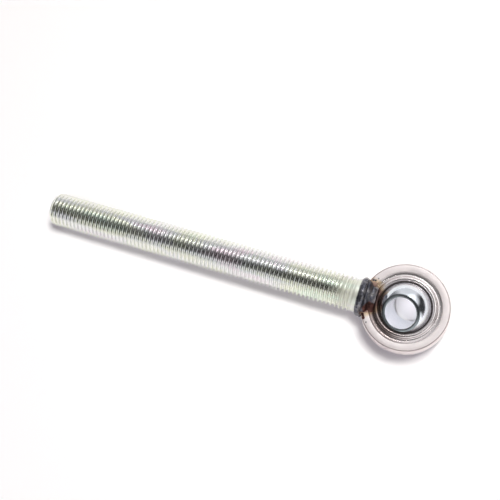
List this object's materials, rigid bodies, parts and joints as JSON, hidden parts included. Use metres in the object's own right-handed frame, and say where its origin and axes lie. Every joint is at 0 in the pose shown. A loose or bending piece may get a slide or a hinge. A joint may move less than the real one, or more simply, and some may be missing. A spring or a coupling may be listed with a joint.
{
  "type": "rod end bearing",
  "caption": "Weld-on rod end: a swivelling ball with a plain bore, held in a round steel eye that is welded to the end of a long threaded rod.",
  "frame": {"origin": "centre of the ball, which is also the middle of the eye ring", "axes": "-X along the threaded rod towards its free end; Z along the eye ring's axis, +Z out of the face that the ball leans out of towards -Y"},
  "size_m": [0.245, 0.05, 0.0294],
  "materials": {
    "zinc_plate_yellow": "bright zinc plate with a faint yellow-green and pink iridescence",
    "turned_steel": "bare steel, lathe turned, satin",
    "pressed_steel": "bare steel, pressed smooth, half gloss",
    "grease": "dark wet grease",
    "zinc_plate_blue": "bright blue-white zinc plate, glossy",
    "weld_metal": "dark scaled weld bead, half gloss, with brown heat tint"
  },
  "bodies": {
    "rod_and_eye": {"threaded_rod": "zinc_plate_yellow", "eye_ring": "turned_steel", "bearing_race": "pressed_steel", "weld_collar": "weld_metal", "weld_top_run": "weld_metal", "weld_bottom_run": "weld_metal", "weld_spatter": "weld_metal"},
    "film": {"grease_film": "grease"},
    "ball": {"ball": "zinc_plate_blue"}
  },
  "joints": [
    {"name": "ball_swivel", "type": "hinge", "parent": "rod_and_eye", "child": "film", "pos_m": [0, 0, 0], "axis": [0, 0, 1], "continuous": true},
    {"name": "ball_lean", "type": "hinge", "parent": "film", "child": "ball", "pos_m": [0, 0, 0], "axis": [0.9703, -0.2419, 0], "range_deg": [-63, 7]}
  ]
}
